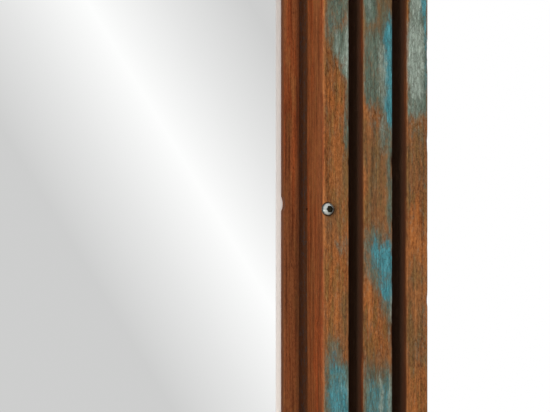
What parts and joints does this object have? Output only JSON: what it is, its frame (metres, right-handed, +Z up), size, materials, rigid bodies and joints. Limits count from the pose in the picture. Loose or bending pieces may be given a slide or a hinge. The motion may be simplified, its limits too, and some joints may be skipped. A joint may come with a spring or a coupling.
{
  "type": "framed wall mirror",
  "caption": "Rectangular wall mirror in a deep frame of mitred reclaimed-wood slats with open gaps, hung on two keyhole plates.",
  "frame": {"origin": "half way between the centres of the two keyholes' round entry holes, on the back face of the back boards", "axes": "+X to the right as seen from the front, +Y towards the wall, +Z up"},
  "size_m": [0.6, 0.0449, 0.8],
  "materials": {
    "slat_wood": "reclaimed hardwood, waxed, with worn teal, turquoise and pale grey paint on the front",
    "bead_wood": "planed red-brown hardwood, waxed",
    "board_wood": "rough sawn hardwood, dark in the groove",
    "silvered_glass": "float glass silvered behind, with a grey protective coat",
    "glazing_tape": "pale foam tape",
    "foam": "soft white foam",
    "hardboard": "brown hardboard",
    "beech": "pressed beech",
    "zinc_steel": "zinc-plated steel",
    "bright_steel": "bright steel, a little worn",
    "rubber": "black rubber"
  },
  "bodies": {
    "frame": {"back_stile_left": "board_wood", "sight_bead_left": "bead_wood", "inner_slat_left": "slat_wood", "middle_slat_left": "slat_wood", "outer_slat_left": "slat_wood", "slat_screws_left": "zinc_steel", "back_stile_right": "board_wood", "sight_bead_right": "bead_wood", "inner_slat_right": "slat_wood", "middle_slat_right": "slat_wood", "outer_slat_right": "slat_wood", "slat_screws_right": "zinc_steel", "back_rail_bottom": "board_wood", "sight_bead_bottom": "bead_wood", "inner_slat_bottom": "slat_wood", "middle_slat_bottom": "slat_wood", "outer_slat_bottom": "slat_wood", "slat_screws_bottom": "zinc_steel", "back_rail_top": "board_wood", "sight_bead_top": "bead_wood", "inner_slat_top": "slat_wood", "middle_slat_top": "slat_wood", "outer_slat_top": "slat_wood", "slat_screws_top": "zinc_steel", "glazing_tape": "glazing_tape", "mirror_pane": "silvered_glass", "setting_pads": "rubber", "foam_sheet": "foam", "backing_board": "hardboard", "turn_button_screws": "zinc_steel", "hanger_screws": "zinc_steel", "corner_plate_screws": "zinc_steel", "hanger_plate_left": "zinc_steel", "front_screw_left": "bright_steel", "corner_plate_bottom_left": "zinc_steel", "corner_plate_top_left": "zinc_steel", "hanger_plate_right": "zinc_steel", "front_screw_right": "bright_steel", "corner_plate_bottom_right": "zinc_steel", "corner_plate_top_right": "zinc_steel", "bead_pins": "bright_steel", "corner_biscuits": "beech", "wall_bumpers": "rubber"},
    "turn_button_left_upper": {"turn_button_left_upper": "zinc_steel"},
    "turn_button_left_lower": {"turn_button_left_lower": "zinc_steel"},
    "turn_button_right_upper": {"turn_button_right_upper": "zinc_steel"},
    "turn_button_right_lower": {"turn_button_right_lower": "zinc_steel"},
    "turn_button_top_middle": {"turn_button_top_middle": "zinc_steel"},
    "turn_button_bottom_middle": {"turn_button_bottom_middle": "zinc_steel"}
  },
  "joints": [
    {"name": "turn_left_upper", "type": "hinge", "parent": "frame", "child": "turn_button_left_upper", "pos_m": [-0.216, 0.00072, -0.1], "axis": [0, 1, 0], "continuous": true},
    {"name": "turn_left_lower", "type": "hinge", "parent": "frame", "child": "turn_button_left_lower", "pos_m": [-0.216, 0.00072, -0.4], "axis": [0, 1, 0], "continuous": true},
    {"name": "turn_right_upper", "type": "hinge", "parent": "frame", "child": "turn_button_right_upper", "pos_m": [0.216, 0.00072, -0.1], "axis": [0, 1, 0], "continuous": true},
    {"name": "turn_right_lower", "type": "hinge", "parent": "frame", "child": "turn_button_right_lower", "pos_m": [0.216, 0.00072, -0.4], "axis": [0, 1, 0], "continuous": true},
    {"name": "turn_top_middle", "type": "hinge", "parent": "frame", "child": "turn_button_top_middle", "pos_m": [0, 0.00072, 0.066], "axis": [0, 1, 0], "continuous": true},
    {"name": "turn_bottom_middle", "type": "hinge", "parent": "frame", "child": "turn_button_bottom_middle", "pos_m": [0, 0.00072, -0.566], "axis": [0, 1, 0], "continuous": true}
  ]
}
